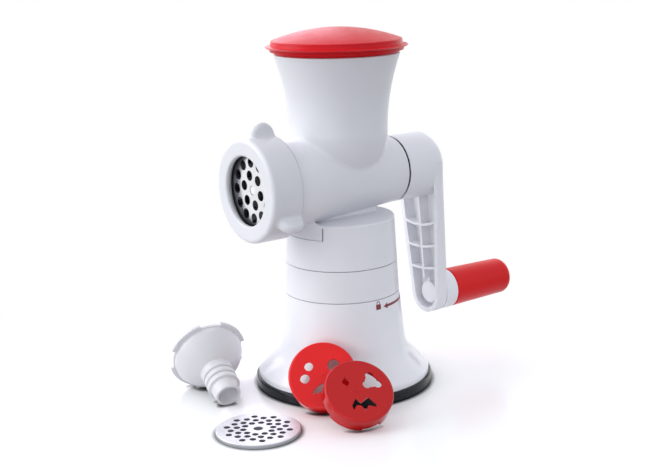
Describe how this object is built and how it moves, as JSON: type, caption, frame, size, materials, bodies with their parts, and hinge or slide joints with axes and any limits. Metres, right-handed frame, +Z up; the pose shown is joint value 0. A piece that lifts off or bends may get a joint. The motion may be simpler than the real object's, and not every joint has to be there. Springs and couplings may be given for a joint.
{
  "type": "hand crank meat grinder",
  "caption": "Table-top hand crank meat grinder on a round suction base, with a hopper and pusher, a ring nut holding a hole plate, and loose plate, funnel and shaping dies.",
  "frame": {"origin": "on the table at the middle of the round base", "axes": "+Z up, +X along the barrel from the ring nut towards the crank"},
  "size_m": [0.3313, 0.1892, 0.299],
  "materials": {
    "white_plastic": "satin",
    "white_gloss": "gloss",
    "pale_plastic": "satin",
    "red_plastic": "satin gloss",
    "steel": "bright",
    "black_rubber": "smooth"
  },
  "bodies": {
    "base": {"foot_ring": "black_rubber", "base_bell": "white_gloss", "base_collar": "white_gloss", "collar_screws": "steel"},
    "lock": {"lock_ring": "white_gloss"},
    "suction": {"suction_stem": "white_plastic", "suction_pin": "steel", "suction_pad": "black_rubber"},
    "head": {"grinder_body": "white_plastic", "hopper": "white_plastic", "head_spigot": "white_plastic", "rear_bush": "white_plastic"},
    "pusher": {"pusher_lid": "red_plastic", "pusher_stem": "red_plastic"},
    "crank": {"crank_arm": "white_plastic", "thrust_ring": "black_rubber", "auger": "white_plastic", "knife": "steel", "crank_screw": "steel", "hub_cap": "white_plastic", "handle_pin": "white_plastic", "handle_screw": "steel"},
    "grip": {"handle_grip": "red_plastic", "grip_cap": "red_plastic"},
    "plate": {"coarse_plate": "steel"},
    "nut": {"ring_nut": "white_plastic"},
    "funnel": {"sausage_funnel": "pale_plastic"},
    "spare_plate": {"fine_plate": "steel"},
    "first_die": {"die_rounds": "red_plastic"},
    "second_die": {"die_trefoil": "red_plastic"}
  },
  "joints": [
    {"name": "lock_turn", "type": "hinge", "parent": "base", "child": "lock", "pos_m": [0, 0, 0.093], "axis": [0, 0, 1], "range_deg": [0, 60]},
    {"name": "suction_lift", "type": "slide", "parent": "base", "child": "suction", "axis": [0, 0, 1], "range_m": [0, 0.006]},
    {"name": "head_lift", "type": "slide", "parent": "base", "child": "head", "axis": [0, 0, 1], "range_m": [0, 0.045]},
    {"name": "pusher_lift", "type": "slide", "parent": "head", "child": "pusher", "axis": [0, 0, 1], "range_m": [0, 0.1]},
    {"name": "crank_turn", "type": "hinge", "parent": "head", "child": "crank", "pos_m": [0.09, 0, 0.1762], "axis": [1, 0, 0], "continuous": true},
    {"name": "grip_turn", "type": "hinge", "parent": "crank", "child": "grip", "pos_m": [0.14, -0.01112, 0.06274], "axis": [1, 0, 0], "continuous": true},
    {"name": "plate_out", "type": "slide", "parent": "head", "child": "plate", "axis": [-1, 0, 0], "range_m": [0, 0.012]},
    {"name": "nut_turn", "type": "hinge", "parent": "plate", "child": "nut", "pos_m": [-0.079, 0, 0.1762], "axis": [-1, 0, 0], "range_deg": [0, 720]},
    {"name": "funnel_lift", "type": "slide", "parent": "base", "child": "funnel", "axis": [0, 0, 1], "range_m": [0, 0.05]},
    {"name": "spare_plate_lift", "type": "slide", "parent": "base", "child": "spare_plate", "axis": [0, 0, 1], "range_m": [0, 0.05]},
    {"name": "first_die_lift", "type": "slide", "parent": "base", "child": "first_die", "axis": [0, 0, 1], "range_m": [0, 0.05]},
    {"name": "second_die_lift", "type": "slide", "parent": "first_die", "child": "second_die", "axis": [0, 0, 1], "range_m": [0, 0.05]}
  ],
  "couplings": [
    {"joint": "suction_lift", "follows": "lock_turn", "m_per_rad": 0.0057296},
    {"joint": "plate_out", "follows": "nut_turn", "m_per_rad": 0.00095493}
  ]
}
